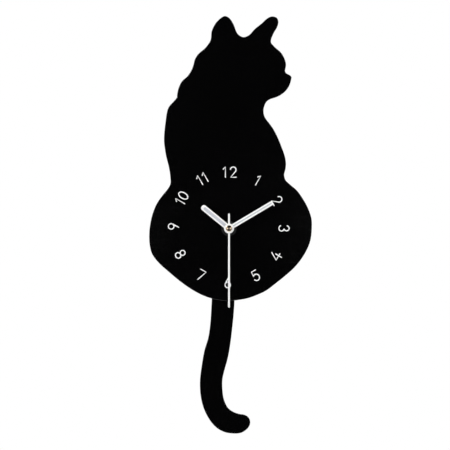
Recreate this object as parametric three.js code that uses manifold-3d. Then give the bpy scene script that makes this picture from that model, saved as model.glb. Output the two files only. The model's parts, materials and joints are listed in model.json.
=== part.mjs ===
// Wall clock cut as a sitting cat, with a quartz movement behind the panel and a tail that swings
// as the movement's pendulum. Millimetres, +Z up, the dial looks along -Y and the wall is y = 0.
// Shapes are drawn round the hand axis: x to the right, z up, and depth forward from the wall.
// The finished group is lowered so that its origin is the nail that the clock hangs on.
import * as THREE from 'three';
import { mergeVertices } from 'three/addons/utils/BufferGeometryUtils.js';
import Module from 'manifold-3d';

const wasm = await Module();
wasm.setup();

// ---- driving dimensions ----

const nailHeight = 40; // above the hand axis
const runGap = 0.25; // between turning pieces, on the radius
const restGap = 0.1; // between stacked pieces

// Depth forward from the wall of each layer: [back, front].
const layer = {
  cover: [0, 1.4],
  knob: [0.2, 1.6],
  intermediateWheel: [2.4, 3],
  secondWheel: [3.5, 4.3],
  thirdWheel: [4.9, 5.5],
  stator: [5.5, 6.3],
  trainPlate: [6.4, 7.4],
  centreWheel: [8, 8.8],
  clutch: [8.9, 9.2],
  reverseWheel: [9.4, 10],
  hourWheel: [10.9, 11.7],
  lever: [8, 9.8],
  caseFront: [15.6, 17],
  hanger: [17.1, 17.9],
  gasket: [18, 19],
  panel: [19.1, 22.1],
  washer: [22.2, 22.7],
  nut: [22.8, 24.8],
  hourHand: [26, 26.6],
  minuteHand: [28, 28.6],
  secondHand: [30.2, 30.6],
  tail: [14.9, 17.9],
};

const movement = { halfWidth: 28, bottom: -62, top: 28, corner: 5, wall: 1.6 };
const bay = { centre: -22, halfHeight: 7.6, rib: 1.2 }; // the battery lies across the case here
const battery = { radius: 7, depth: 8.3, left: -24.8, right: 24.2, nubRadius: 2.7, nubEnd: 25.4 };
const contact = { thickness: 0.4, negativeX: -25.8, positiveX: 25.7, halfHeight: 5, depths: [2.6, 14] };
const pivot = { z: -36, pinRadius: 1, pinEnd: 15.2, bossRadius: 2.4 }; // the pendulum's pin
const swungBy = 5; // degrees that the stored pose has swung, clockwise, from hanging still
const magnet = { z: -50, radius: 4, depths: [6.9, 10] };
const lever = {
  hubRadius: 3, halfWidth: 2.5, foot: -66.5, neckHalfWidth: 1.5, bar: [-71.4, -68.9], barHalfWidth: 4,
};
const bracket = { thickness: 1, halfWidth: 6.5, back: 6.5, shelf: [-68.6, -67.6], foot: -77, slotHalf: 1.8 };
const screw = { xs: [-4, 4], z: -73.5, shankRadius: 1, headRadius: 1.9, headHeight: 1.1, bite: 2.2 };
const pendulumSlot = { halfWidth: 9, depth: [6.8, 11] };

// Depths where the arbors end: in the cover's bosses, the train plate and the front case's bosses.
const arborEnd = 1.2;
const plateEnd = 7;
const frontBossEnd = 14.5;

// Radii of the nested tubes that carry the hands.
const secondArborRadius = 0.5;
const minuteTube = { bore: 0.75, radius: 1.5 };
const hourPipe = { bore: minuteTube.radius + runGap, radius: 2.4 };
const bushing = { bore: hourPipe.radius + 0.3, radius: 4, flangeRadius: 5.6 };
const thinArbor = 0.4;
const stoutArbor = 0.7;

// Wheel and pinion teeth, with the modules that give each pair its centre distance.
const train = {
  rotor: { teeth: 6, module: 1 / 3 },
  intermediate: { teeth: 36, module: 1 / 3 },
  intermediatePinion: { teeth: 6, module: 0.4 },
  second: { teeth: 30, module: 0.4 },
  secondPinion: { teeth: 6, module: 0.34 },
  third: { teeth: 48, module: 0.34 },
  thirdPinion: { teeth: 6, module: 0.36 },
  centre: { teeth: 45, module: 0.36 },
  cannon: { teeth: 10, module: 0.48 },
  reverse: { teeth: 30, module: 0.48 },
  reversePinion: { teeth: 8, module: 0.48 },
  hour: { teeth: 32, module: 0.48 },
};

// Hands, by the angle clockwise from twelve and the reach from the hand axis.
const hands = {
  hour: { turn: 309.3, reach: 38.5, width: 6.2, tip: 2.6, boss: 5.4, hole: hourPipe.radius + restGap },
  minute: { turn: 59.3, reach: 56, width: 4.6, tip: 1, boss: 5, hole: minuteTube.radius + restGap },
  second: { turn: 180, reach: 86.7, width: 2, tip: 1, boss: 5.5, hole: 1.3, back: 16.5 },
};
const cap = { stem: 1.2, radius: 3.5, rim: 0.5, shoulderRadius: 2.7, shoulder: 1, height: 1.2 };

// ---- finishes ----

const finish = (color, roughness, metalness = 0) =>
  new THREE.MeshStandardMaterial({ color, roughness, metalness });
const blackAcrylic = finish(0x050506, 0.12);
const blackPlastic = finish(0x17181a, 0.45);
const whitePaint = finish(0xf4f4f2, 0.35);
const brass = finish(0xb58a45, 0.3, 1);
const steel = finish(0x9a9ca0, 0.35, 1);
const blackRubber = finish(0x101010, 0.8);
const ivoryPlastic = finish(0xd9d6cc, 0.45);
const copperWire = finish(0xb8622e, 0.4, 1);
const boardGreen = finish(0x1f5a36, 0.5);
const cellJacket = finish(0x2c4f7c, 0.35);

// ---- solids and the cuts between them ----

const degrees = (angle) => (angle * Math.PI) / 180;

function toSolid(geometry) {
  const bare = geometry.clone();
  bare.deleteAttribute('normal');
  bare.deleteAttribute('uv');
  const merged = mergeVertices(bare, 1e-4);
  const vertProperties = merged.attributes.position.array;
  const triVerts = new Uint32Array(merged.index.array);
  return new wasm.Manifold(new wasm.Mesh({ numProp: 3, vertProperties, triVerts }));
}

function toGeometry(solid) {
  const { vertProperties, triVerts } = solid.getMesh();
  const geometry = new THREE.BufferGeometry();
  geometry.setAttribute('position', new THREE.BufferAttribute(vertProperties, 3));
  geometry.setIndex(new THREE.BufferAttribute(triVerts, 1));
  return geometry;
}

const joined = (...pieces) => toGeometry(pieces.map(toSolid).reduce((sum, next) => sum.add(next)));
const cut = (body, ...tools) =>
  toGeometry(tools.map(toSolid).reduce((left, tool) => left.subtract(tool), toSolid(body)));

// A flat shape in x and z, made solid between two depths.
function sheet(shape, [back, front], curveSegments = 6) {
  const geometry = new THREE.ExtrudeGeometry(shape, {
    depth: front - back,
    bevelEnabled: false,
    curveSegments,
  });
  return geometry.translate(0, 0, back).rotateX(Math.PI / 2);
}

// A profile of [radius, depth] points turned round a line along Y.
function turned(profile, [x, z] = [0, 0], sides = 24) {
  const points = profile.map(([radius, depth]) => new THREE.Vector2(radius, depth));
  return new THREE.LatheGeometry(points, sides).rotateX(Math.PI).translate(x, 0, z);
}

function rod(radius, [back, front], at, sides) {
  return turned([[0, back], [radius, back], [radius, front], [0, front]], at, sides);
}

function pipe(bore, radius, [back, front], at, sides) {
  const profile = [[bore, back], [radius, back], [radius, front], [bore, front], [bore, back]];
  return turned(profile, at, sides);
}

function block([left, right], [back, front], [low, high]) {
  const geometry = new THREE.BoxGeometry(right - left, front - back, high - low);
  return geometry.translate((left + right) / 2, -(back + front) / 2, (low + high) / 2);
}

// A rod along X, centred on a height and a depth.
function crossRod(radius, [left, right], { z, depth }, sides = 24) {
  const geometry = new THREE.CylinderGeometry(radius, radius, right - left, sides);
  return geometry.rotateZ(Math.PI / 2).translate((left + right) / 2, -depth, z);
}

function roundedRectangle([left, right], [low, high], corner) {
  const shape = new THREE.Shape();
  shape.absarc(right - corner, high - corner, corner, 0, degrees(90));
  shape.absarc(left + corner, high - corner, corner, degrees(90), degrees(180));
  shape.absarc(left + corner, low + corner, corner, degrees(180), degrees(270));
  shape.absarc(right - corner, low + corner, corner, degrees(270), degrees(360));
  return shape;
}

function roundHole(radius, x = 0, z = 0) {
  return new THREE.Path().absarc(x, z, radius, 0, 2 * Math.PI, true);
}

// ---- the group, and its named pieces ----

const clock = new THREE.Group();
clock.position.z = -nailHeight;

function piece(name, geometry, material) {
  const mesh = new THREE.Mesh(geometry, material);
  mesh.name = name;
  clock.add(mesh);
}

// ---- the cat and its tail ----

// Each run is one smooth curve through its points, and runs meet at corners.
const smoothSteps = 3;

function smoothRun(points, closed = false) {
  const knots = points.map(([x, z]) => new THREE.Vector3(x, z, 0));
  const curve = new THREE.CatmullRomCurve3(knots, closed, 'centripetal');
  const spans = closed ? points.length : points.length - 1;
  return curve.getPoints(spans * smoothSteps).slice(0, -1).map(({ x, y }) => new THREE.Vector2(x, y));
}

// From the corner over the nose, round both ears, to the corner under the far cheek.
const headRun = [
  [61.5, 173], [62.6, 181.2], [58.2, 192], [49.8, 199.8], [46, 205], [49, 214.5], [52.8, 221], [54.3, 227],
  [52.5, 231.5], [47, 233], [42, 230.8], [36, 225.4], [27.8, 218.7], [22, 212.4], [16, 210.2],
  [11.3, 212.2], [8.4, 215.7], [5.2, 224], [1.5, 230], [-2, 232.8], [-5.5, 233.3], [-14.3, 226.2],
  [-19, 217], [-20, 208], [-22.5, 203], [-27, 197.5], [-34, 191.5], [-37.5, 186], [-39, 180],
  [-41.6, 173.5], [-46, 167], [-52, 161.5], [-55.5, 154], [-57, 147], [-57.2, 144],
];
// Down the back, round the haunches, up the chest and out to the nose.
const bodyRun = [
  [-57.2, 144], [-61, 139.5], [-66.5, 133], [-68.5, 126], [-69.5, 119], [-71, 106], [-71.4, 96],
  [-70.4, 87], [-69, 79], [-66, 67], [-64.4, 56], [-64.4, 49], [-67, 44], [-74, 35.4], [-79, 28],
  [-84, 16], [-87, 2], [-87.7, -9], [-87, -19], [-84.4, -28.3], [-77, -38], [-67, -47], [-54.4, -57.6],
  [-41, -67], [-30, -73], [-19, -77], [-9, -79], [1, -79.6], [11, -78.5], [21, -76.6], [31, -73],
  [41.3, -68], [51.3, -60.4], [61.3, -52.4], [71.4, -43.4], [79.6, -33.4], [86, -22.5],
  [89.7, -12.2], [91, 1], [90.6, 11], [86.6, 22.8], [80.6, 33.7], [74.7, 41.7], [67, 48.4],
  [62, 53.4], [60.6, 59], [62, 65], [62.6, 71], [61.4, 79.2], [58, 89], [54, 99], [49, 109],
  [44, 116], [39.6, 122], [38, 127], [38.4, 133], [41, 139], [45.2, 142], [50.2, 143.6],
  [56.4, 146.4], [62.6, 151.4], [66.6, 157.7], [68.6, 165], [68.6, 166.5], [67, 168.3],
  [63, 170.5], [61.5, 173],
];
const tailRun = [
  [-19, -79], [-19.6, -91], [-20.7, -106], [-23, -121], [-27, -134], [-30, -151], [-31.7, -164],
  [-32, -173], [-31, -185.3], [-28, -197.4], [-21.5, -210.4], [-13.4, -219.5], [-5, -224], [2, -225.4],
  [11, -225.4], [16, -223.6], [21.6, -218.6], [23.4, -213], [21.6, -208], [17, -205], [11, -204],
  [4.2, -201.5], [-1.4, -197], [-5.4, -188.7], [-7.1, -179], [-7.2, -166], [-5, -156], [-1.4, -143],
  [1.6, -126], [4, -106], [5.4, -91], [6, -79], [5.5, -73], [2, -69], [-6.5, -68], [-15, -69],
  [-18.5, -73],
];

function catPanel() {
  const shape = new THREE.Shape([...smoothRun(headRun), ...smoothRun(bodyRun)]);
  shape.holes.push(roundHole(bushing.radius + 0.2));
  piece('cat_panel', sheet(shape, layer.panel, 12), blackAcrylic);
}

// Turns what is drawn hanging straight down to the pose that the tail is stored in.
function swung(geometry) {
  return geometry.translate(0, 0, -pivot.z).rotateY(degrees(swungBy)).translate(0, 0, pivot.z);
}

function tailAndBracket() {
  const [tailBack] = layer.tail;
  const plateFront = tailBack - restGap;
  const plateBack = plateFront - bracket.thickness;
  const shankEnd = tailBack + screw.bite;
  const shankHoles = () => screw.xs.map((x) => (
    rod(screw.shankRadius + restGap, [plateBack - 1, shankEnd + 0.2], [x, screw.z], 12)));
  const blank = sheet(new THREE.Shape(smoothRun(tailRun, true)), layer.tail);
  piece('tail', cut(blank, ...shankHoles().map(swung)), blackAcrylic);

  const across = [-bracket.halfWidth, bracket.halfWidth];
  const [shelfLow, shelfHigh] = bracket.shelf;
  const upright = block(across, [plateBack, plateFront], [bracket.foot, shelfHigh]);
  const shelf = block(across, [bracket.back, plateFront], bracket.shelf);
  const slotFront = layer.lever[1] + 0.4;
  const hookSlot = block(
    [-bracket.slotHalf, bracket.slotHalf], [bracket.back - 1, slotFront], [shelfLow - 1, shelfHigh + 1],
  );
  piece('tail_bracket', swung(cut(joined(upright, shelf), hookSlot, ...shankHoles())), steel);

  const headFront = plateBack - restGap;
  const headBack = headFront - screw.headHeight;
  const profile = [
    [0, headBack], [1.2, headBack], [screw.headRadius, headFront - 0.5], [screw.headRadius, headFront],
    [screw.shankRadius, headFront], [screw.shankRadius, shankEnd], [0, shankEnd],
  ];
  screw.xs.forEach((x, i) => {
    piece(`tail_screw_${i + 1}`, swung(turned(profile, [x, screw.z], 12)), steel);
  });
}

// ---- pendulum drive ----

function pendulum() {
  const pivotPlace = [0, pivot.z];
  const magnetPlace = [0, magnet.z];
  const arm = joined(
    rod(lever.hubRadius, layer.lever, pivotPlace),
    block([-lever.halfWidth, lever.halfWidth], layer.lever, [lever.foot, pivot.z]),
    rod(magnet.radius + 1.6, layer.lever, magnetPlace),
    block([-lever.neckHalfWidth, lever.neckHalfWidth], layer.lever, [lever.bar[1] - 1.1, lever.foot + 0.5]),
    block([-lever.barHalfWidth, lever.barHalfWidth], layer.lever, lever.bar),
  );
  const through = [layer.lever[0] - 1, layer.lever[1] + 1];
  const pinHole = rod(pivot.pinRadius + runGap, through, pivotPlace);
  const magnetHole = rod(magnet.radius + restGap, through, magnetPlace);
  piece('pendulum_lever', swung(cut(arm, pinHole, magnetHole)), ivoryPlastic);
  piece('pendulum_magnet', swung(rod(magnet.radius, magnet.depths, magnetPlace)), steel);
  piece('pivot_pin', rod(pivot.pinRadius, [arborEnd, pivot.pinEnd], pivotPlace, 12), steel);

  const coil = { bore: 2.5, radius: 6, depths: [3.2, 6.2] };
  const board = { halfWidth: 22, depths: [2.3, 3.1], heights: [-58, -43] };
  piece('pendulum_coil', pipe(coil.bore, coil.radius, coil.depths, magnetPlace), copperWire);
  const boardBlock = block([-board.halfWidth, board.halfWidth], board.depths, board.heights);
  piece('pendulum_board', boardBlock, boardGreen);
}

// ---- gear train ----

// Flanks run straight from a broad root to a narrow tip, which leaves free play on both sides.
const tooth = { root: 0.58, tip: 0.2, addendum: 0.85, dedendum: 1.2 };

function gear({ teeth, module }, depths, [x, z], pointing, bore = 0) {
  const pitchRadius = (teeth * module) / 2;
  const pitchAngle = (2 * Math.PI) / teeth;
  const rootRadius = pitchRadius - tooth.dedendum * module;
  const tipRadius = pitchRadius + tooth.addendum * module;
  const corners = [
    [-tooth.root, rootRadius], [-tooth.tip, tipRadius], [tooth.tip, tipRadius], [tooth.root, rootRadius],
  ];
  const points = [];
  for (let i = 0; i < teeth; i += 1) {
    for (const [share, radius] of corners) {
      const angle = pointing + pitchAngle * (i + share / 2);
      points.push(new THREE.Vector2(radius * Math.cos(angle), radius * Math.sin(angle)));
    }
  }
  const shape = new THREE.Shape(points);
  if (bore > 0) shape.holes.push(roundHole(bore));
  return sheet(shape, depths).translate(x, 0, z);
}

const centreDistance = (wheel, pinion) => (
  (wheel.teeth * wheel.module + pinion.teeth * pinion.module) / 2
);
const away = ([x, z], distance, angle) => (
  [x + distance * Math.cos(angle), z + distance * Math.sin(angle)]
);

const handAxis = [0, 0];
const heading = { third: degrees(180), intermediate: degrees(20), rotor: degrees(10), reverse: degrees(90) };
const thirdAxis = away(handAxis, centreDistance(train.third, train.secondPinion), heading.third);
const intermediateAxis = away(
  handAxis, centreDistance(train.second, train.intermediatePinion), heading.intermediate,
);
const rotorAxis = away(intermediateAxis, centreDistance(train.intermediate, train.rotor), heading.rotor);
const reverseAxis = away(handAxis, centreDistance(train.reverse, train.cannon), heading.reverse);

// Pointing angles for a pair in mesh: the first has a tooth on the line of centres, the other a gap.
const toothTowards = (angle) => angle;
const gapTowards = (angle, { teeth }) => angle + Math.PI + Math.PI / teeth;

function goingTrain() {
  const { rotor, intermediate, intermediatePinion, second, secondPinion, third, thirdPinion, centre } = train;
  piece('rotor_pinion', joined(
    gear(rotor, [2.2, 3.2], rotorAxis, gapTowards(heading.rotor, rotor)),
    rod(thinArbor, [arborEnd, plateEnd], rotorAxis, 8),
  ), ivoryPlastic);
  piece('rotor_magnet', pipe(thinArbor + restGap, 2.6, [4, 6], rotorAxis), steel);
  piece('intermediate_wheel', joined(
    gear(intermediate, layer.intermediateWheel, intermediateAxis, toothTowards(heading.rotor)),
    gear(
      intermediatePinion, [2.9, 4.6], intermediateAxis, gapTowards(heading.intermediate, intermediatePinion),
    ),
    rod(thinArbor, [arborEnd, plateEnd], intermediateAxis, 8),
  ), ivoryPlastic);
  piece('second_wheel', joined(
    gear(second, layer.secondWheel, handAxis, toothTowards(heading.intermediate)),
    gear(secondPinion, [4.2, 5.8], handAxis, toothTowards(heading.third)),
    rod(secondArborRadius, [arborEnd, 31.2], handAxis, 12),
  ), ivoryPlastic);
  piece('third_wheel', joined(
    gear(third, layer.thirdWheel, thirdAxis, gapTowards(heading.third, third)),
    gear(thirdPinion, [5.4, 9], thirdAxis, gapTowards(heading.third, thirdPinion)),
    rod(thinArbor, [arborEnd, frontBossEnd], thirdAxis, 8),
  ), ivoryPlastic);
  const centreBore = minuteTube.radius + runGap;
  const centreGear = gear(centre, layer.centreWheel, handAxis, toothTowards(heading.third), centreBore);
  piece('centre_wheel', centreGear, brass);
}

function motionWork() {
  const { cannon, reverse, reversePinion, hour } = train;
  const tubeEnds = [7.6, layer.minuteHand[1] + 0.2];
  piece('minute_arbor', joined(
    pipe(minuteTube.bore, minuteTube.radius, tubeEnds, handAxis, 20),
    pipe(minuteTube.bore, 2.3, [tubeEnds[0], layer.centreWheel[0] - 0.15], handAxis, 20),
    gear(cannon, [9.3, 10.4], handAxis, toothTowards(heading.reverse), minuteTube.radius - 0.3),
  ), brass);
  piece('clutch_spring', pipe(minuteTube.radius + restGap, 3.2, layer.clutch, handAxis), steel);
  piece('reverse_wheel', joined(
    gear(reverse, layer.reverseWheel, reverseAxis, gapTowards(heading.reverse, reverse)),
    gear(reversePinion, [9.9, 12.2], reverseAxis, gapTowards(heading.reverse, reversePinion)),
    rod(stoutArbor, [1, frontBossEnd], reverseAxis, 12),
  ), ivoryPlastic);
  piece('hour_wheel', joined(
    gear(hour, layer.hourWheel, handAxis, toothTowards(heading.reverse), hourPipe.bore + 0.3),
    pipe(hourPipe.bore, hourPipe.radius, [layer.hourWheel[0], layer.hourHand[1] + 0.2], handAxis),
  ), ivoryPlastic);
}

// A finger-turned disc on the reverse wheel's arbor, with flutes round its rim.
function settingKnob() {
  const flutes = 12;
  const rim = { radius: 5.3, depth: 0.6 };
  const [back, front] = layer.knob;
  const notches = Array.from({ length: flutes }, (_, i) => {
    const at = away(reverseAxis, rim.radius + 0.2, (2 * Math.PI * i) / flutes);
    return rod(rim.depth, [back - 1, front + 1], at, 6);
  });
  const disc = joined(
    rod(rim.radius, layer.knob, reverseAxis, 24),
    rod(1.6, [front - 0.1, front + 1], reverseAxis, 12),
  );
  const bore = rod(stoutArbor + restGap, [0.9, 4], reverseAxis, 12);
  piece('setting_knob', cut(disc, bore, ...notches), ivoryPlastic);
}

// ---- stepping motor, board and battery ----

function steppingMotor() {
  const left = 4.6;
  const right = 22.8;
  const leg = 4;
  const top = 19.5;
  const bar = { low: -0.6, high: 9 };
  const outline = [
    [9.4, bar.low], [18.2, bar.low], [right, 4], [right, top], [right - leg, top], [right - leg, bar.high],
    [left + leg, bar.high], [left + leg, top], [left, top], [left, 6.6], [9.4, 4.6],
  ];
  const shape = new THREE.Shape(outline.map(([x, z]) => new THREE.Vector2(x, z)));
  shape.holes.push(roundHole(3.2, ...rotorAxis));
  piece('stator', sheet(shape, layer.stator), steel);

  const coil = { z: 17, depth: 5, left: left + leg + 0.2, right: right - leg - 0.2, cheek: 0.7 };
  const winding = [coil.left + coil.cheek + restGap, coil.right - coil.cheek - restGap];
  piece('coil_core', block([left + 0.2, right - 0.2], [4.6, 5.4], [coil.z - 1.7, coil.z + 1.7]), steel);
  const coreHole = block([left, right], [4.5, 5.5], [coil.z - 1.8, coil.z + 1.8]);
  const spool = joined(
    crossRod(2.1, [coil.left, coil.right], coil),
    crossRod(3.3, [coil.left, coil.left + coil.cheek], coil),
    crossRod(3.3, [coil.right - coil.cheek, coil.right], coil),
  );
  piece('coil_bobbin', cut(spool, coreHole), ivoryPlastic);
  piece('coil_winding', cut(crossRod(3, winding, coil), crossRod(2.2, [left, right], coil)), copperWire);
}

function circuitBoard() {
  const board = block([-25, -4], [4, 4.8], [14.5, 25]);
  const chipCover = turned([[0, 3], [1.6, 3.2], [2.6, 4.1], [0, 4.1]], [-10, 19]);
  piece('circuit_board', joined(board, chipCover), boardGreen);
  piece('quartz_crystal', crossRod(1, [-22, -15.5], { z: 22.8, depth: 2.8 }, 16), steel);
}

function batteryAndContacts() {
  const place = { z: bay.centre, depth: battery.depth };
  piece('battery', joined(
    crossRod(battery.radius, [battery.left, battery.right], place, 32),
    crossRod(battery.nubRadius, [battery.right - 1, battery.nubEnd], place, 16),
  ), cellJacket);

  const heights = [bay.centre - contact.halfHeight, bay.centre + contact.halfHeight];
  const { positiveX, negativeX, thickness } = contact;
  piece('positive_contact', block([positiveX, positiveX + thickness], contact.depths, heights), steel);

  // The negative leaf is pressed out into a dome that the battery's flat end pushes on.
  const dome = { radius: 2.4, flattening: 0.5 };
  const leafBack = negativeX - thickness;
  const pressed = new THREE.SphereGeometry(dome.radius, 16, 8)
    .scale(dome.flattening, 1, 1)
    .translate(leafBack + 0.1, -battery.depth, bay.centre);
  const behindLeaf = block([-30, leafBack], [0, 17], [bay.centre - 9, bay.centre + 9]);
  const leaf = block([leafBack, negativeX], contact.depths, heights);
  piece('negative_contact', cut(joined(leaf, pressed), behindLeaf), steel);
}

// ---- movement case ----

const caseOutline = (inset) =>
  roundedRectangle(
    [-movement.halfWidth + inset, movement.halfWidth - inset],
    [movement.bottom + inset, movement.top - inset],
    movement.corner - inset,
  );
const cornerPosts = [[-23.5, -10], [23.5, -10], [-23.5, 10], [23.5, 10]];
const boardPosts = [[-22, 17], [-7, 22]];

function frontCase() {
  const [wallBack, wallFront] = layer.caseFront;
  const root = wallBack + 0.2;
  const inner = movement.halfWidth - movement.wall + 0.2;
  const rimBack = layer.cover[1] + restGap;
  const shell = cut(
    sheet(caseOutline(0), [rimBack, wallFront]),
    sheet(caseOutline(movement.wall), [rimBack - 0.5, wallBack]),
  );
  const ribs = [-1, 1].map((side) => {
    const face = bay.centre + side * bay.halfHeight;
    return block([-inner, inner], [2.4, root], [face, face + side * bay.rib].sort((a, b) => a - b));
  });
  const posts = [
    ...cornerPosts.map((at) => rod(1.6, [layer.trainPlate[1] + restGap, root], at, 8)),
    ...boardPosts.map((at) => rod(1.5, [4.9, root], at, 8)),
    rod(1.5, [12.8, root], thirdAxis, 12),
    rod(1.8, [12.8, root], reverseAxis, 12),
    rod(pivot.bossRadius, [12.6, root], [0, pivot.z], 12),
  ];
  const bores = [
    rod(thinArbor + 0.2, [12, 15], thirdAxis, 12),
    rod(stoutArbor + 0.2, [12, 15], reverseAxis, 12),
    rod(pivot.pinRadius + restGap, [12, 15.3], [0, pivot.z], 12),
    rod(bushing.radius + restGap, [wallBack - 1, wallFront + 1], handAxis),
    block([-pendulumSlot.halfWidth, pendulumSlot.halfWidth], pendulumSlot.depth, [-63, -59]),
  ];
  piece('front_case', cut(joined(shell, ...ribs, ...posts), ...bores), blackPlastic);
}

function backCover() {
  const [back, front] = layer.cover;
  const rimFront = front + 0.7;
  const rim = cut(sheet(caseOutline(movement.wall + 0.3), [front - 0.1, rimFront]),
    sheet(caseOutline(movement.wall + 1.5), [back - 1, rimFront + 1]));
  const bearings = [[handAxis, secondArborRadius], [thirdAxis, thinArbor], [intermediateAxis, thinArbor],
    [rotorAxis, thinArbor]];
  const bosses = bearings.map(([at, radius]) => rod(radius + 0.8, [front - 0.1, front + 0.7], at, 12));
  const pinBoss = rod(pivot.bossRadius, [front - 0.1, 4], [0, pivot.z], 12);
  const boardFeet = [-18, 18].map((x) => rod(1.2, [front - 0.1, 2.2], [x, magnet.z], 8));
  const openings = [
    ...bearings.map(([at, radius]) => rod(radius + 0.2, [0.9, 3], at, 8)),
    rod(pivot.pinRadius + restGap, [0.9, 5], [0, pivot.z], 12),
    rod(5.8, [back - 1, front + 1], reverseAxis),
    block([-25.6, 26], [back - 1, rimFront + 1], [bay.centre - 7.4, bay.centre + 7.4]),
  ];
  piece('back_cover', cut(joined(sheet(caseOutline(0), layer.cover), rim, ...bosses, pinBoss, ...boardFeet),
    ...openings), blackPlastic);
}

function trainPlate() {
  const shape = roundedRectangle([-26, 26], [-12.8, 12.8], 1);
  const holes = [
    [handAxis, secondArborRadius], [intermediateAxis, thinArbor], [rotorAxis, thinArbor],
    [reverseAxis, stoutArbor], [thirdAxis, 1.4],
  ];
  holes.forEach(([[x, z], radius]) => shape.holes.push(roundHole(radius + 0.2, x, z)));
  piece('train_plate', sheet(shape, layer.trainPlate), ivoryPlastic);
}

// ---- what holds the movement to the panel, and the clock to the wall ----

function panelFixing() {
  const threadEnd = layer.nut[1] + 0.6;
  const flange = [14.3, 15.5];
  piece('threaded_bushing', joined(
    pipe(bushing.bore, bushing.radius, [flange[0], threadEnd], handAxis),
    pipe(bushing.bore, bushing.flangeRadius, flange, handAxis),
  ), brass);
  piece('rubber_gasket', pipe(bushing.radius + 0.2, 9, layer.gasket, handAxis, 32), blackRubber);
  piece('flat_washer', pipe(bushing.radius + 0.2, 8.4, layer.washer, handAxis, 32), blackPlastic);
  const hexagon = rod(7.3, layer.nut, handAxis, 6);
  piece('hex_nut', cut(hexagon, rod(bushing.radius + restGap, [20, 30], handAxis)), blackPlastic);
}

// A strip held by the bushing, bent back over the case to a keyhole tab against the wall.
function hangerPlate() {
  const half = 11;
  const strip = 0.8;
  const shelfLow = movement.top + 0.3;
  const [back, front] = layer.hanger;
  const keyhole = { slotRadius: 2, entryRadius: 4, entry: nailHeight - 6.5 };
  const slotCentre = nailHeight - keyhole.slotRadius;
  const bent = joined(
    block([-half, half], [back, front], [-10, shelfLow + strip]),
    block([-half, half], [0, front], [shelfLow, shelfLow + strip]),
    sheet(roundedRectangle([-half, half], [shelfLow, nailHeight + 6], 4), [0, strip]),
    block([-half, half], [0, strip], [shelfLow, shelfLow + 6]),
  );
  const holes = [
    rod(bushing.radius + restGap, [back - 1, front + 1], handAxis),
    rod(keyhole.entryRadius, [-1, strip + 1], [0, keyhole.entry]),
    rod(keyhole.slotRadius, [-1, strip + 1], [0, slotCentre]),
    block([-keyhole.slotRadius, keyhole.slotRadius], [-1, strip + 1], [keyhole.entry, slotCentre]),
  ];
  piece('hanger_plate', cut(bent, ...holes), steel);
}

// ---- hands ----

// A straight blade from a round boss, drawn pointing at twelve and then turned to its place.
function hand({ turn, reach, width, tip, boss, hole, back = 0 }, depths) {
  const blade = sheet(roundedRectangle([-width / 2, width / 2], [-back, reach], tip), depths, 6);
  const geometry = cut(joined(rod(boss, depths, handAxis, 32), blade), rod(hole, [20, 35], handAxis));
  return geometry.rotateY(degrees(turn));
}

function handSet() {
  piece('hour_hand', hand(hands.hour, layer.hourHand), whitePaint);
  piece('minute_hand', hand(hands.minute, layer.minuteHand), whitePaint);
  piece('second_hand', hand(hands.second, layer.secondHand), whitePaint);
  const [back, front] = layer.secondHand;
  const seat = front + 0.05;
  const bore = secondArborRadius + restGap;
  const profile = [
    [bore, back - 1], [cap.stem, back - 1], [cap.stem, seat], [cap.radius, seat],
    [cap.radius, seat + cap.rim], [cap.shoulderRadius, seat + cap.shoulder], [0, seat + cap.height],
    [0, seat + 0.8], [bore, seat + 0.8], [bore, back - 1],
  ];
  piece('second_hand_cap', turned(profile), brass);
}

catPanel();
tailAndBracket();
pendulum();
goingTrain();
motionWork();
settingKnob();
steppingMotor();
circuitBoard();
batteryAndContacts();
frontCase();
backCover();
trainPlate();
panelFixing();
hangerPlate();
handSet();

export default clock;
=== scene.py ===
import json
import math

import bmesh
import bpy
from mathutils import Matrix, Vector


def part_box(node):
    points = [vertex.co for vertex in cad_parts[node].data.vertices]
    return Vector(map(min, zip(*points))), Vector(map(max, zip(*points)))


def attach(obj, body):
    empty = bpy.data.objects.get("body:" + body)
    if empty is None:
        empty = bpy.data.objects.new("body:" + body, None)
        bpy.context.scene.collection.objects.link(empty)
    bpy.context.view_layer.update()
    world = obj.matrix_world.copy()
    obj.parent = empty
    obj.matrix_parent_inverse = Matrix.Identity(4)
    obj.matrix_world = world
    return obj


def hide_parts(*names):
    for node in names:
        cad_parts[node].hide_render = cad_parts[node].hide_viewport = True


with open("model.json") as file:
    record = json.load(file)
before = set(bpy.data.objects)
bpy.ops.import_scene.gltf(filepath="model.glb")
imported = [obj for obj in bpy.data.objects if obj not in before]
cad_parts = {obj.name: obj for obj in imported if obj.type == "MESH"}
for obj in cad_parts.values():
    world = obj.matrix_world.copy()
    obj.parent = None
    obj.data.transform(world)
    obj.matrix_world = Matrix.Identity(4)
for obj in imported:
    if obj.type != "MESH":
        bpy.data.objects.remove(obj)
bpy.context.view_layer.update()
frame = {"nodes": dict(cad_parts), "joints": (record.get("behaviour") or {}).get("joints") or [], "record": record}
nodes = frame["nodes"]
scene = bpy.context.scene
millimetre = 0.001


def centreOf(node):
    low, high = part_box(node)
    return (low + high) / 2


def jointPlace(name):
    return Vector(next(joint["pos_m"] for joint in frame["joints"] if joint["name"] == name))


handAxis = jointPlace("minute_hand_turn")
knobAxis = jointPlace("reverse_wheel_turn")
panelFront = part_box("cat_panel")[0].y
print("frame loaded:", len(nodes), "nodes")


# Camera and lights

shot = {"distance": 3.2, "seenWidth": 0.4943, "aimX": -0.0044, "aimBelowNail": 0.0362, "sensor": 36.0}


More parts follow.
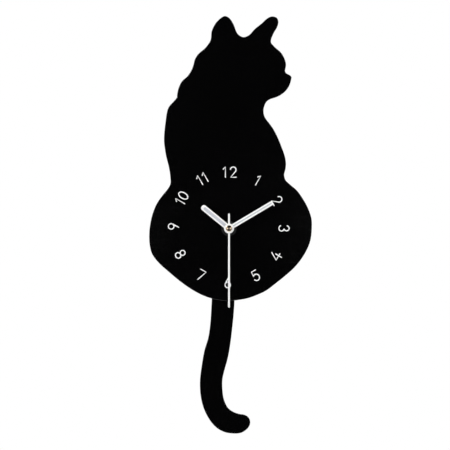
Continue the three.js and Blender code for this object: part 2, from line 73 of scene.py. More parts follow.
def makeCamera():
    lens = bpy.data.cameras.new("shotCamera")
    lens.sensor_width = shot["sensor"]
    lens.lens = shot["sensor"] * shot["distance"] / shot["seenWidth"]
    camera = bpy.data.objects.new("shotCamera", lens)
    camera.location = (shot["aimX"], panelFront - shot["distance"], -shot["aimBelowNail"])
    camera.rotation_euler = (math.radians(90), 0, 0)
    scene.collection.objects.link(camera)
    scene.camera = camera


# the large lights stand high, so that the upright sheet mirrors none of them to a camera at its own height;
# the two low strips light the brass cap from either side, just outside what the sheet mirrors to the shot
softboxes = {
    "left": {"at": (-1.6, -1.3, 1.15), "size": (0.9, 0.7), "power": 36},
    "right": {"at": (1.6, -1.3, 1.05), "size": (0.9, 0.7), "power": 19},
    "leftStrip": {"at": (-0.5, -1.45, -0.04), "size": (0.7, 0.3), "power": 0.75},
    "rightStrip": {"at": (0.5, -1.45, -0.04), "size": (0.7, 0.3), "power": 0.7},
    "overhead": {"at": (0.2, 0.5, 1.9), "size": (1.8, 1.4), "power": 34},
    "backLeft": {"at": (-1.3, 1.6, 1.2), "size": (0.9, 0.8), "power": 34},
    "backRight": {"at": (1.5, 1.4, 1.05), "size": (0.7, 0.8), "power": 24},
}


def makeSoftboxes():
    aim = centreOf("cat_panel")
    for name, box in softboxes.items():
        lamp = bpy.data.lights.new(name + "Softbox", "AREA")
        lamp.shape = "RECTANGLE"
        lamp.size, lamp.size_y = box["size"]
        lamp.energy = box["power"]
        holder = bpy.data.objects.new(name + "Softbox", lamp)
        holder.location = box["at"]
        holder.rotation_euler = (aim - Vector(box["at"])).to_track_quat("-Z", "Y").to_euler()
        scene.collection.objects.link(holder)


floorPlan = {"below": 1.25, "half": 3.0, "colour": (0.86, 0.86, 0.85, 1), "roughness": 0.8}


def makeFloor():
    bm = bmesh.new()
    bmesh.ops.create_grid(bm, x_segments=1, y_segments=1, size=floorPlan["half"])
    bmesh.ops.translate(bm, verts=bm.verts, vec=(0, 0, -floorPlan["below"]))
    mesh = bpy.data.meshes.new("floor")
    bm.to_mesh(mesh)
    bm.free()
    floor = bpy.data.objects.new("floor", mesh)
    scene.collection.objects.link(floor)
    pale = bpy.data.materials.new("paleFloor")
    pale.use_nodes = True
    shader = pale.node_tree.nodes["Principled BSDF"]
    shader.inputs["Base Color"].default_value = floorPlan["colour"]
    shader.inputs["Roughness"].default_value = floorPlan["roughness"]
    mesh.materials.append(pale)


makeCamera()
makeSoftboxes()
makeFloor()
print("camera, lights and floor ready")


# Shader networks: sums are written as expressions on links, and every node comes from Network.node

class Link:
    def __init__(self, network, socket):
        self.network = network
        self.socket = socket

    def maths(self, operation, left, right=0.0):
        return self.network.node("ShaderNodeMath", {"operation": operation}, {0: left, 1: right})

    def __add__(self, other):
        return self.maths("ADD", self, other)

    def __radd__(self, other):
        return self.maths("ADD", other, self)

    def __sub__(self, other):
        return self.maths("SUBTRACT", self, other)

    def __rsub__(self, other):
        return self.maths("SUBTRACT", other, self)

    def __mul__(self, other):
        return self.maths("MULTIPLY", self, other)

    def __rmul__(self, other):
        return self.maths("MULTIPLY", other, self)

    def __gt__(self, other):
        return self.maths("GREATER_THAN", self, other)

    def size(self):
        return self.maths("ABSOLUTE", self)

    def wave(self):
        return self.maths("SINE", self)

    def root(self):
        return self.maths("SQRT", self)


class Network:
    def __init__(self, tree):
        self.tree = tree

    def plug(self, entry, value):
        if isinstance(value, Link):
            self.tree.links.new(value.socket, entry)
        else:
            entry.default_value = value

    def node(self, kind, settings=None, values=None, output=0):
        made = self.tree.nodes.new(kind)
        for key, value in (settings or {}).items():
            setattr(made, key, value)
        for key, value in (values or {}).items():
            self.plug(made.inputs[key], value)
        return Link(self, made.outputs[output])

    def axes(self, vector):
        first = self.node("ShaderNodeSeparateXYZ", {}, {0: vector})
        return [Link(self, output) for output in first.socket.node.outputs]

    def between(self, value, low, high):
        values = {"Value": value, "From Min": low, "From Max": high}
        return self.node("ShaderNodeMapRange", {"clamp": True}, values)


room = {
    "seen": 1.0, "fill": 0.24, "behindCamera": 0.006, "ceiling": 0.9,
    "wallFrom": -0.85, "wallTo": -0.2, "ceilingFrom": 0.55, "ceilingTo": 0.95,
}


def makeRoom():
    world = bpy.data.worlds.new("paleRoom")
    scene.world = world
    world.use_nodes = True
    network = Network(world.node_tree)
    background = world.node_tree.nodes["Background"]
    _, forward, upward = network.axes(network.node("ShaderNodeTexCoord", output="Generated"))
    # dark towards the camera, so that the flat sheet stays black, and bright overhead
    wall = network.between(forward, room["wallFrom"], room["wallTo"])
    above = network.between(upward, room["ceilingFrom"], room["ceilingTo"])
    lit = room["behindCamera"] + wall * (room["fill"] - room["behindCamera"]) + above * room["ceiling"]
    seen = network.node("ShaderNodeLightPath", output="Is Camera Ray")
    network.plug(background.inputs["Color"], (1, 1, 1, 1))
    network.plug(background.inputs["Strength"], seen * room["seen"] + (1 - seen) * lit)
    scene.view_settings.view_transform = "Standard"


makeRoom()
print("room lit")


# Finishes, on Object coordinates

class Finish(Network):
    def __init__(self, name, constants):
        self.material = bpy.data.materials.new(name)
        self.material.use_nodes = True
        super().__init__(self.material.node_tree)
        self.shader = self.tree.nodes["Principled BSDF"]
        for key, value in constants.items():
            self.shader.inputs[key].default_value = value
        self.place = self.node("ShaderNodeTexCoord", output="Object")

    def stretched(self, scale, turn=(0, 0, 0)):
        return self.node("ShaderNodeMapping", {}, {"Vector": self.place, "Scale": scale, "Rotation": turn})

    def noise(self, scale, detail=2.0, vector=None):
        values = {"Vector": vector or self.place, "Scale": scale, "Detail": detail}
        return self.node("ShaderNodeTexNoise", {}, values)

    def mix(self, factor, first, second):
        return self.node("ShaderNodeMix", {"data_type": "RGBA"}, {0: factor, 6: first, 7: second}, 2)

    def colour(self, value):
        self.plug(self.shader.inputs["Base Color"], value)

    def roughness(self, value):
        self.plug(self.shader.inputs["Roughness"], value)

    def metallic(self, value):
        self.plug(self.shader.inputs["Metallic"], value)

    def bump(self, height, distance, strength=1.0):
        values = {"Height": height, "Distance": distance, "Strength": strength}
        self.plug(self.shader.inputs["Normal"], self.node("ShaderNodeBump", {}, values))


# scales are in waves per metre, so 1000 is a grain of about a millimetre
acrylicLook = {
    "deep": (0.0006, 0.0006, 0.0007, 1), "haze": (0.0016, 0.0016, 0.0018, 1),
    "polish": 0.05, "cutEdge": 0.2, "hairlines": 0.10,
    "cloudScale": 14, "dustScale": 2600, "sawScale": 700, "striations": (1500, 30, 1500),
}


def polishedAcrylic():
    finish = Finish("polishedBlackAcrylic", {"IOR": 1.49, "Specular IOR Level": 0.5})
    cloud = finish.noise(acrylicLook["cloudScale"], 3)
    dust = finish.between(finish.noise(acrylicLook["dustScale"], 1), 0.70, 0.78)
    finish.colour(finish.mix(cloud * 0.8 + dust * 0.6, acrylicLook["deep"], acrylicLook["haze"]))
    facing = finish.node("ShaderNodeNewGeometry", output="Normal")
    flatFace = finish.between(finish.axes(facing)[1].size(), 0.35, 0.75)
    # two sets of fine wiping scratches, at different slants
    level = finish.noise(30, 4, finish.stretched((1, 1, 46), (0, 0.7, 0)))
    upright = finish.noise(26, 4, finish.stretched((52, 1, 1), (0, 0.2, 0)))
    hairline = finish.between(level, 0.62, 0.75) + finish.between(upright, 0.64, 0.76)
    onFace = acrylicLook["polish"] + cloud * 0.03 + hairline * acrylicLook["hairlines"] + dust * 0.2
    onEdge = acrylicLook["cutEdge"] + finish.noise(acrylicLook["sawScale"], 2) * 0.15
    finish.roughness(flatFace * onFace + (1 - flatFace) * onEdge)
    striations = finish.noise(1.0, 2, finish.stretched(acrylicLook["striations"]))
    finish.bump((1 - flatFace) * striations + flatFace * finish.noise(5, 1) * 0.6, 0.04 * millimetre, 0.5)
    return finish.material


paintLook = {
    "white": (0.93, 0.93, 0.92, 1), "shade": (0.84, 0.85, 0.86, 1), "gloss": 0.3,
    "cloudScale": 120, "orangePeel": 600, "grainScale": 1800,
}


def whiteEnamel():
    finish = Finish("whiteEnamel", {"IOR": 1.5})
    cloud = finish.between(finish.noise(paintLook["cloudScale"], 3), 0.35, 0.75)
    finish.colour(finish.mix(cloud * 0.5, paintLook["white"], paintLook["shade"]))
    finish.roughness(paintLook["gloss"] + finish.noise(paintLook["orangePeel"], 2) * 0.18)
    finish.bump(finish.noise(paintLook["grainScale"], 2), 0.02 * millimetre, 0.6)
    return finish.material


inlayLook = {"pale": (0.49, 0.51, 0.57, 1), "grain": (0.62, 0.64, 0.68, 1), "grainScale": 2400}


def grooveInlay():
    finish = Finish("grooveInlay", {"IOR": 1.45})
    grain = finish.between(finish.noise(inlayLook["grainScale"], 3), 0.35, 0.7)
    finish.colour(finish.mix(grain, inlayLook["pale"], inlayLook["grain"]))
    finish.roughness(0.55 + grain * 0.2)
    finish.bump(grain, 0.03 * millimetre, 0.5)
    return finish.material


paperLook = {"white": (0.72, 0.72, 0.69, 1), "fibre": (0.62, 0.62, 0.58, 1), "fibreScale": 1600}


def labelPaper():
    finish = Finish("labelPaper", {"IOR": 1.45})
    fibre = finish.between(finish.noise(paperLook["fibreScale"], 4), 0.35, 0.7)
    finish.colour(finish.mix(fibre, paperLook["white"], paperLook["fibre"]))
    finish.roughness(0.6 + fibre * 0.2)
    finish.bump(fibre, 0.01 * millimetre, 0.6)
    return finish.material


inkLook = {"white": (0.94, 0.94, 0.94, 1), "thin": (0.86, 0.87, 0.88, 1), "filmScale": 900}


def numeralInk():
    finish = Finish("numeralInk", {"IOR": 1.45})
    film = finish.between(finish.noise(inkLook["filmScale"], 4), 0.4, 0.8)
    finish.colour(finish.mix(film, inkLook["white"], inkLook["thin"]))
    finish.roughness(0.42 + film * 0.2)
    finish.bump(finish.noise(3000, 2), 0.01 * millimetre, 0.5)
    return finish.material


def mouldedPlastic(name, dark, light, gloss, grain):
    finish = Finish(name, {"IOR": 1.5})
    cloud = finish.between(finish.noise(40, 4), 0.3, 0.7)
    finish.colour(finish.mix(cloud, dark, light))
    sparked = finish.noise(2200, 3)
    finish.roughness(gloss + cloud * 0.06 + sparked * 0.12)
    finish.bump(sparked, grain, 0.8)
    return finish.material


def platedSteel(name, dark, light, gloss):
    finish = Finish(name, {"Metallic": 1.0})
    rolled = finish.noise(60, 4, finish.stretched((1, 1, 34)))
    spangle = finish.noise(420, 3)
    finish.colour(finish.mix(finish.between(spangle, 0.3, 0.75), dark, light))
    finish.roughness(gloss + rolled * 0.16 + spangle * 0.08)
    finish.bump(rolled, 0.02 * millimetre, 0.5)
    return finish.material


brassLook = {"warm": (0.76, 0.60, 0.43, 1), "pale": (0.84, 0.72, 0.58, 1), "ringPitch": 0.16 * millimetre}


def turnedBrass():
    finish = Finish("turnedBrass", {"Metallic": 1.0})
    across, _, upward = finish.axes(finish.place)
    fromAxis = (across * across + (upward - handAxis.z) * (upward - handAxis.z)).root()
    rings = (fromAxis * (2 * math.pi / brassLook["ringPitch"])).wave() * 0.5 + 0.5
    finish.colour(finish.mix(finish.noise(500, 3), brassLook["warm"], brassLook["pale"]))
    finish.roughness(0.09 + rings * 0.04 + finish.noise(900, 2) * 0.05)
    finish.bump(rings, 0.003 * millimetre, 0.4)
    return finish.material


# the darker colour is painted shade for the grooves between wire turns
copperLook = {"paintedGrooveShade": (0.35, 0.13, 0.05, 1), "wire": (0.80, 0.38, 0.18, 1), "wirePitch": 0.22 * millimetre}


def woundCopper():
    finish = Finish("woundCopper", {"Metallic": 1.0, "Coat Weight": 0.4})
    across = finish.axes(finish.place)[0]
    turns = (across * (2 * math.pi / copperLook["wirePitch"])).wave() * 0.5 + 0.5
    # painted shade: the colour darkens in the grooves between the wire turns and is bright on their tops
    finish.colour(finish.mix(turns, copperLook["paintedGrooveShade"], copperLook["wire"]))
    finish.roughness(0.28 + turns * 0.15)
    finish.bump(turns, 0.06 * millimetre)
    return finish.material


boardLook = {"lacquer": (0.02, 0.13, 0.06, 1), "track": (0.05, 0.26, 0.12, 1), "trackScale": 520}


def boardLacquer():
    finish = Finish("boardLacquer", {"IOR": 1.5})
    values = {"Vector": finish.place, "Scale": boardLook["trackScale"]}
    squares = finish.node("ShaderNodeTexVoronoi", {"distance": "MANHATTAN"}, values)
    tracks = finish.between(squares, 0.30, 0.36)
    finish.colour(finish.mix(tracks, boardLook["lacquer"], boardLook["track"]))
    finish.roughness(0.3 + finish.noise(800, 2) * 0.2)
    finish.bump(tracks, 0.03 * millimetre)
    return finish.material


cellLook = {
    "jacket": (0.02, 0.07, 0.20, 1), "jacketLight": (0.03, 0.10, 0.27, 1), "band": (0.62, 0.64, 0.66, 1),
    "steel": (0.66, 0.65, 0.62, 1), "bandStart": 15.5 * millimetre, "bandEnd": 22.5 * millimetre,
    "bandBlur": 0.1 * millimetre,
}


def cellJacket():
    finish = Finish("cellJacket", {"IOR": 1.5})
    across, _, upward = finish.axes(finish.place)
    middle = centreOf("battery")
    fromMiddle = across - middle.x
    band = finish.between(fromMiddle, cellLook["bandStart"], cellLook["bandStart"] + cellLook["bandBlur"])
    jacket = finish.mix(finish.noise(70, 3), cellLook["jacket"], cellLook["jacketLight"])
    printed = finish.mix(band, jacket, cellLook["band"])
    bareEnd = fromMiddle.size() > cellLook["bandEnd"]
    finish.colour(finish.mix(bareEnd, printed, cellLook["steel"]))
    finish.metallic(bareEnd * 0.95 + band * (1 - bareEnd) * 0.6)
    finish.roughness(0.26 + finish.noise(600, 3) * 0.14)
    finish.bump(finish.noise(1500, 2), 0.01 * millimetre, 0.5)
    return finish.material


# name, darker and lighter colour, roughness, and for plastics the height of the grain
plastics = {
    "black_plastic": ("blackCase", (0.012, 0.012, 0.013, 1), (0.02, 0.02, 0.022, 1), 0.42, 0.05 * millimetre),
    "ivory_plastic": ("ivoryAcetal", (0.66, 0.63, 0.54, 1), (0.74, 0.71, 0.63, 1), 0.34, 0.02 * millimetre),
    "black_rubber": ("blackRubber", (0.012, 0.012, 0.012, 1), (0.03, 0.03, 0.03, 1), 0.68, 0.06 * millimetre),
}
steels = {
    "zinc_steel": ("zincPlate", (0.52, 0.54, 0.56, 1), (0.70, 0.71, 0.72, 1), 0.22),
    "magnet_nickel": ("nickelPlate", (0.58, 0.55, 0.50, 1), (0.70, 0.68, 0.64, 1), 0.12),
    "black_washer": ("blackedWasher", (0.025, 0.025, 0.026, 1), (0.05, 0.05, 0.052, 1), 0.42),
    "black_nut": ("blackedNut", (0.025, 0.025, 0.026, 1), (0.055, 0.055, 0.058, 1), 0.36),
}
finishes = {
    "black_acrylic": polishedAcrylic(), "white_paint": whiteEnamel(), "brass": turnedBrass(),
    "copper_wire": woundCopper(), "circuit_board": boardLacquer(), "cell_jacket": cellJacket(),
}
finishes.update((slot, mouldedPlastic(*look)) for slot, look in plastics.items())
finishes.update((slot, platedSteel(*look)) for slot, look in steels.items())
inlayFinish = grooveInlay()
inkFinish = numeralInk()
paperFinish = labelPaper()
slotOf = {row["node"]: row["material_slot"] for row in frame["record"]["subparts"]}
for name, node in nodes.items():
    node.data.materials.clear()
    node.data.materials.append(finishes[slotOf[name]])
print("finishes made:", len(finishes) + len((inlayFinish, inkFinish, paperFinish)))


# Mesh helpers

shading = {"sharpAngle": 38, "weight": 90}
cleaning = {"weld": 0.002 * millimetre, "flatWithin": math.radians(0.6)}


def bodyOf(node):
    bodies = frame["record"]["behaviour"]["bodies"]
    return next(body for body, members in bodies.items() if node in members)


def asPiece(name, bm, body, finish, standsFor=()):
    for face in bm.faces:
        face.smooth = True
    for edge in bm.edges:
        edge.smooth = edge.calc_face_angle(0.0) < math.radians(shading["sharpAngle"])
    mesh = bpy.data.meshes.new(name)
    bm.to_mesh(mesh)
    bm.free()
    mesh.materials.append(finish)
    piece = bpy.data.objects.new(name, mesh)
    scene.collection.objects.link(piece)
    even = piece.modifiers.new("evenShading", "WEIGHTED_NORMAL")
    even.keep_sharp = True
    even.weight = shading["weight"]
    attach(piece, body)
    if standsFor:
        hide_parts(*standsFor)
    return piece


def cleaned(bm):
    bmesh.ops.remove_doubles(bm, verts=bm.verts, dist=cleaning["weld"])
    bmesh.ops.dissolve_limit(bm, angle_limit=cleaning["flatWithin"], verts=bm.verts, edges=bm.edges)
    return bm


def copyOf(node):
    bm = bmesh.new()
    bm.from_mesh(nodes[node].data)
    return cleaned(bm)


def softenEdges(bm, width, segments=2, overAngle=30):
    sharp = [edge for edge in bm.edges if edge.calc_face_angle(0.0) > math.radians(overAngle)]
    bmesh.ops.bevel(bm, geom=sharp, offset=width * millimetre, offset_type="OFFSET", segments=segments,
                    profile=0.5, affect="EDGES", clamp_overlap=True, material=-1)
    return bm


def roundCorners(block, radius, segments):
    # the corners of a flat block that run along Y
    corners = [edge for edge in block.edges if alongY(edge)]
    bmesh.ops.bevel(block, geom=corners, offset=radius, offset_type="OFFSET", segments=segments,
                    profile=0.5, affect="EDGES", clamp_overlap=True, material=-1)


def alongY(edge):
    run = edge.verts[0].co - edge.verts[1].co
    return abs(run.y) > abs(run.x) + abs(run.z)


def carved(body, cutter):
    objects = []
    for bm in (body, cutter):
        mesh = bpy.data.meshes.new("carving")
        bm.to_mesh(mesh)
        bm.free()
        objects.append(bpy.data.objects.new("carving", mesh))
        scene.collection.objects.link(objects[-1])
    cut = objects[0].modifiers.new("cut", "BOOLEAN")
    cut.operation = "DIFFERENCE"
    cut.solver = "EXACT"
    cut.object = objects[1]
    result = bmesh.new()
    result.from_object(objects[0], bpy.context.evaluated_depsgraph_get())
    for leftover in objects:
        bpy.data.objects.remove(leftover, do_unlink=True)
    return cleaned(result)


def addBlock(bm, low, high):
    corners = bmesh.ops.create_cube(bm, size=1.0)["verts"]
    bmesh.ops.scale(bm, verts=corners, vec=Vector(high) - Vector(low))
    bmesh.ops.translate(bm, verts=corners, vec=(Vector(low) + Vector(high)) / 2)


def turnedShape(profile, centre, sides):
    bm = bmesh.new()
    ring = [bm.verts.new((radius, y, 0)) for radius, y in profile]
    edges = [bm.edges.new(pair) for pair in zip(ring, ring[1:])]
    bmesh.ops.spin(bm, geom=ring + edges, cent=(0, 0, 0), axis=(0, 1, 0), angle=2 * math.pi, steps=sides,
                   use_merge=True, use_duplicate=False)
    bmesh.ops.remove_doubles(bm, verts=bm.verts, dist=cleaning["weld"])
    bmesh.ops.recalc_face_normals(bm, faces=bm.faces)
    bmesh.ops.translate(bm, verts=bm.verts, vec=(centre.x, 0, centre.z))
    return bm


# Cat panel and tail

sheetEdge = {"round": 0.45, "segments": 3}


def cutSheet(node, name):
    bm = softenEdges(copyOf(node), sheetEdge["round"], sheetEdge["segments"], 40)
    return asPiece(name, bm, bodyOf(node), finishes[slotOf[node]], (node,))


cutSheet("cat_panel", "catPanel")
cutSheet("tail", "catTail")
print("cat panel and tail cut")


# Numerals: round-ended strokes, drawn in units of their own centre-line height

numeralPlan = {
    "height": 11.3, "wide": 0.95, "stroke": 1.15, "film": 0.12, "gap": {10: 0.33, 11: 0.4, 12: 0.5},
    "ring": 60.75, "ringCentre": (-0.3, 1.2), "ahead": 1.0, "furtherAhead": {7: -0.8, 10: 1.1},
    "flipped": (4, 5, 6, 7, 8),
}
arcSteps = 12


def arc(x, y, acrossRadius, upRadius, start, end):
    angles = [math.radians(start + (end - start) * i / arcSteps) for i in range(arcSteps + 1)]
    return [(x + acrossRadius * math.cos(angle), y + upRadius * math.sin(angle)) for angle in angles]


sixStrokes = [arc(0.28, 0.28, 0.28, 0.28, 0, 360), [(0.37, 1.0), (0.21, 0.72), (0.06, 0.47), (0.0, 0.30)]]
digits = {
    "0": (0.60, [arc(0.30, 0.5, 0.30, 0.5, 0, 360)]),
    "1": (0.22, [[(0, 0.78), (0.22, 1), (0.22, 0)]]),
    "2": (0.58, [arc(0.28, 0.725, 0.285, 0.275, 170, -35) + [(0.02, 0), (0.58, 0)]]),
    "3": (0.56, [arc(0.28, 0.75, 0.26, 0.25, 165, -80) + arc(0.28, 0.255, 0.28, 0.255, 80, -160)]),
    "4": (0.75, [[(0.45, 1.03), (0, 0.29), (0.75, 0.29)], [(0.525, 0.63), (0.515, -0.03)]]),
    "5": (0.62, [[(0.61, 1), (0.13, 1), (0.08, 0.55)] + arc(0.31, 0.32, 0.31, 0.32, 132, -157)]),
    "6": (0.56, sixStrokes),
    "7": (0.61, [[(0, 1), (0.61, 1), (0.25, 0)]]),
    "8": (0.60, [arc(0.30, 0.755, 0.255, 0.245, 0, 360), arc(0.30, 0.255, 0.30, 0.255, 0, 360)]),
    "9": (0.56, [[(0.56 - x, 1 - y) for x, y in stroke] for stroke in sixStrokes]),
}


def roundEnds(points, halfStroke):
    # a stroke narrows to nothing over its last half width, as a round pen leaves it
    shares = (0.0, 0.12, 0.35, 0.65, 1.0)
    ends = []
    for here, inner in ((points[0], points[1]), (points[-1], points[-2])):
        inward = (Vector(inner) - Vector(here)).normalized()
        tip = Vector(here) - inward * halfStroke
        ends.append([(tip + inward * halfStroke * share, math.sqrt(max(0.0, 1 - (1 - share) ** 2)))
                     for share in shares])
    middle = [(Vector(point), 1.0) for point in points[1:-1]]
    return ends[0] + middle + ends[1][::-1]


def drawStroke(curve, points, halfStroke):
    closed = (Vector(points[0]) - Vector(points[-1])).length < 1e-4
    run = [(Vector(point), 1.0) for point in points[:-1]] if closed else roundEnds(points, halfStroke)
    spline = curve.splines.new("POLY")
    spline.points.add(len(run) - 1)
    for target, (point, width) in zip(spline.points, run):
        target.co = (point.x, point.y, 0, 1)
        target.radius = max(width, 0.02)
    spline.use_cyclic_u = closed


def numeralMesh(hour):
    curve = bpy.data.curves.new("numeralStrokes", "CURVE")
    curve.dimensions = "3D"
    curve.twist_mode = "Z_UP"
    halfStroke = numeralPlan["stroke"] / numeralPlan["height"] / 2
    curve.bevel_depth = halfStroke
    curve.bevel_resolution = 3
    curve.use_fill_caps = True
    wide = numeralPlan["wide"]
    gap = numeralPlan["gap"].get(hour, 0)
    widths = [digits[letter][0] * wide for letter in str(hour)]
    start = -(sum(widths) + gap * (len(widths) - 1)) / 2
    for letter, width in zip(str(hour), widths):
        for stroke in digits[letter][1]:
            drawStroke(curve, [(x * wide + start, y - 0.5) for x, y in stroke], halfStroke)
        start += width + gap
    holder = bpy.data.objects.new("numeralStrokes", curve)
    scene.collection.objects.link(holder)
    bm = bmesh.new()
    bm.from_mesh(holder.to_mesh())
    bpy.data.objects.remove(holder, do_unlink=True)
    return bm


def placeNumeral(hour):
    bm = numeralMesh(hour)
    size = numeralPlan["height"] * millimetre
    thin = numeralPlan["film"] / (numeralPlan["stroke"] / 2)
    turn = math.radians(30 * hour + (180 if hour in numeralPlan["flipped"] else 0))
    bmesh.ops.scale(bm, verts=bm.verts, vec=(size, size, size * thin))
    bmesh.ops.rotate(bm, verts=bm.verts, cent=(0, 0, 0), matrix=Matrix.Rotation(math.radians(90), 3, "X"))
    bmesh.ops.rotate(bm, verts=bm.verts, cent=(0, 0, 0), matrix=Matrix.Rotation(turn, 3, "Y"))
    # the printed ring sits a little high and left of the hand axis, and a degree ahead of the hours
    around = math.radians(30 * hour + numeralPlan["ahead"] + numeralPlan["furtherAhead"].get(hour, 0))
    across = numeralPlan["ringCentre"][0] + numeralPlan["ring"] * math.sin(around)
    up = numeralPlan["ringCentre"][1] + numeralPlan["ring"] * math.cos(around)
    place = (handAxis.x + across * millimetre, panelFront, handAxis.z + up * millimetre)
    bmesh.ops.translate(bm, verts=bm.verts, vec=place)
    bmesh.ops.remove_doubles(bm, verts=bm.verts, dist=0.001 * millimetre)
    bmesh.ops.recalc_face_normals(bm, faces=bm.faces)
    return asPiece(f"numeral{hour}", bm, "clock_body", inkFinish)


for hour in range(1, 13):
    placeNumeral(hour)
print("numerals printed")


# Hands

handPlan = {
    "hour_hand": {"angle": 309.3, "grooveWidth": 2.9, "from": 4.5, "to": 35.6, "deep": 0.3, "edge": 0.14},
    "minute_hand": {"angle": 59.3, "grooveWidth": 1.1, "from": 4.5, "to": 54.2, "deep": 0.3, "edge": 0.14},
    "second_hand": {"angle": 180, "edge": 0.1},
}


def grooveShape(plan, front, back, side=0.0):
    bm = bmesh.new()
    half = plan["grooveWidth"] / 2 * millimetre - side
    low, high = plan["from"] * millimetre + side, plan["to"] * millimetre - side
    addBlock(bm, (-half, front, low), (half, back, high))
    roundCorners(bm, half * 0.98, 5)
    turn = Matrix.Rotation(math.radians(plan["angle"]), 3, "Y")
    bmesh.ops.rotate(bm, verts=bm.verts, cent=(0, 0, 0), matrix=turn)
    bmesh.ops.translate(bm, verts=bm.verts, vec=(handAxis.x, 0, handAxis.z))
    return bm


def makeHand(node, name):
    plan = handPlan[node]
    front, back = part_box(node)[0].y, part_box(node)[1].y
    bm = copyOf(node)
    if "deep" in plan:
        floorY = front + plan["deep"] * millimetre
        bm = carved(bm, grooveShape(plan, front - millimetre, floorY))
        inlay = grooveShape(plan, front + 0.12 * millimetre, floorY + 0.02 * millimetre, 0.03 * millimetre)
        asPiece(name + "Inlay", inlay, bodyOf(node), inlayFinish)
    softenEdges(bm, plan["edge"], 2, 40)
    return asPiece(name, bm, bodyOf(node), finishes["white_paint"], (node,))


makeHand("hour_hand", "hourHand")
makeHand("minute_hand", "minuteHand")
makeHand("second_hand", "secondHand")

capPlan = {"sides": 64, "radius": 3.48, "steps": 8, "rimTilt": 12.5, "edge": 0.12, "stem": 1.15}


def makeHandCap():
    low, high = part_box("second_hand_cap")
    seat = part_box("second_hand")[0].y - 0.05 * millimetre
    radius, edge, stem = (capPlan[key] * millimetre for key in ("radius", "edge", "stem"))
    tilt = math.radians(capPlan["rimTilt"])
    curve = (radius - edge) / math.sin(tilt)
    profile = [(0, high.y), (stem, high.y), (stem, seat), (radius - edge, seat), (radius, seat - edge)]
    rim = low.y + curve * (1 - math.cos(tilt))
    profile.append((radius, rim + edge))
    for step in range(capPlan["steps"]):
        angle = tilt * (1 - step / capPlan["steps"])
        profile.append((curve * math.sin(angle), low.y + curve * (1 - math.cos(angle))))
    profile.append((0, low.y))
    bm = turnedShape(profile, handAxis, capPlan["sides"])
    return asPiece("secondHandCap", bm, "second_set", finishes["brass"], ("second_hand_cap",))


makeHandCap()
print("hands made")


# Fixing at the centre

fixingPlan = {
    "nutEdge": 0.35, "washerEdge": 0.12, "rubberEdge": 0.25, "sides": 48,
    "bore": 2.7, "thread": 4.0, "root": 3.65, "pitch": 0.75, "flange": 5.6, "flangeDepth": 1.2,
}


def simpleCopy(node, name, width, segments=2, overAngle=35):
    bm = softenEdges(copyOf(node), width, segments, overAngle)
    return asPiece(name, bm, bodyOf(node), finishes[slotOf[node]], (node,))


def makeBushing():
    low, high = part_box("threaded_bushing")
    bore, crest, root, pitch, flange, flangeDepth = (
        fixingPlan[key] * millimetre for key in ("bore", "thread", "root", "pitch", "flange", "flangeDepth"))
    shoulder = high.y - flangeDepth
    profile = [(bore, high.y), (flange, high.y), (flange, shoulder), (crest, shoulder)]
    here = shoulder - pitch
    while here - pitch > low.y + pitch * 0.6:
        profile += [(crest, here), (root, here - pitch * 0.4)]
        profile += [(root, here - pitch * 0.6), (crest, here - pitch)]
        here -= pitch
    profile += [(crest, low.y + pitch * 0.4), (root, low.y), (bore, low.y), (bore, high.y)]
    bm = turnedShape(profile, handAxis, fixingPlan["sides"])
    return asPiece("threadedBushing", bm, "clock_body", finishes["brass"], ("threaded_bushing",))


simpleCopy("hex_nut", "hexNut", fixingPlan["nutEdge"])
simpleCopy("flat_washer", "flatWasher", fixingPlan["washerEdge"])
simpleCopy("rubber_gasket", "rubberGasket", fixingPlan["rubberEdge"])
makeBushing()
print("centre fixing made")


# Back cover, with its markings sunk into the moulding

coverPlan = {
    "edge": 0.3, "sunk": 0.3, "paint": 0.12, "labelShare": 0.6, "pinShare": 0.35,
    "arrow": {"radius": 8.4, "half": 0.55, "from": 35, "to": 145, "head": 1.5, "steps": 14},
    "signs": {"at": 19.5, "below": 34.0, "reach": 1.9, "half": 0.4},
    "label": {"half": 17, "from": -57, "to": -41},
    "pins": [(-24, 24), (24, 24), (-24, -58), (24, -58)], "pinRadius": 1.6, "pinSides": 20,
}


def addPlate(bm, outline, back, front):
    face = bm.faces.new([bm.verts.new((x * millimetre, back, z * millimetre)) for x, z in outline])
    grown = bmesh.ops.extrude_face_region(bm, geom=[face])["geom"]
    raised = [item for item in grown if isinstance(item, bmesh.types.BMVert)]
    bmesh.ops.translate(bm, verts=raised, vec=(0, front - back, 0))


def shifted(outline, across, up):
    return [(x + across, z + up) for x, z in outline]


def arrowOutline(plan):
    span, steps = plan["to"] - plan["from"], plan["steps"]
    angles = [math.radians(plan["from"] + span * i / steps) for i in range(steps + 1)]
    inner, outer = plan["radius"] - plan["half"], plan["radius"] + plan["half"]
    barb, neck = plan["head"] - plan["half"], angles[-1]
    tip = neck + plan["head"] * 1.7 / plan["radius"]
    around = [(outer, angle) for angle in angles]
    around += [(outer + barb, neck), (plan["radius"], tip), (inner - barb, neck)]
    around += [(inner, angle) for angle in reversed(angles)]
    outline = [(radius * math.cos(angle), radius * math.sin(angle)) for radius, angle in around]
    # round the setting knob
    return shifted(outline, (knobAxis.x - handAxis.x) / millimetre, (knobAxis.z - handAxis.z) / millimetre)


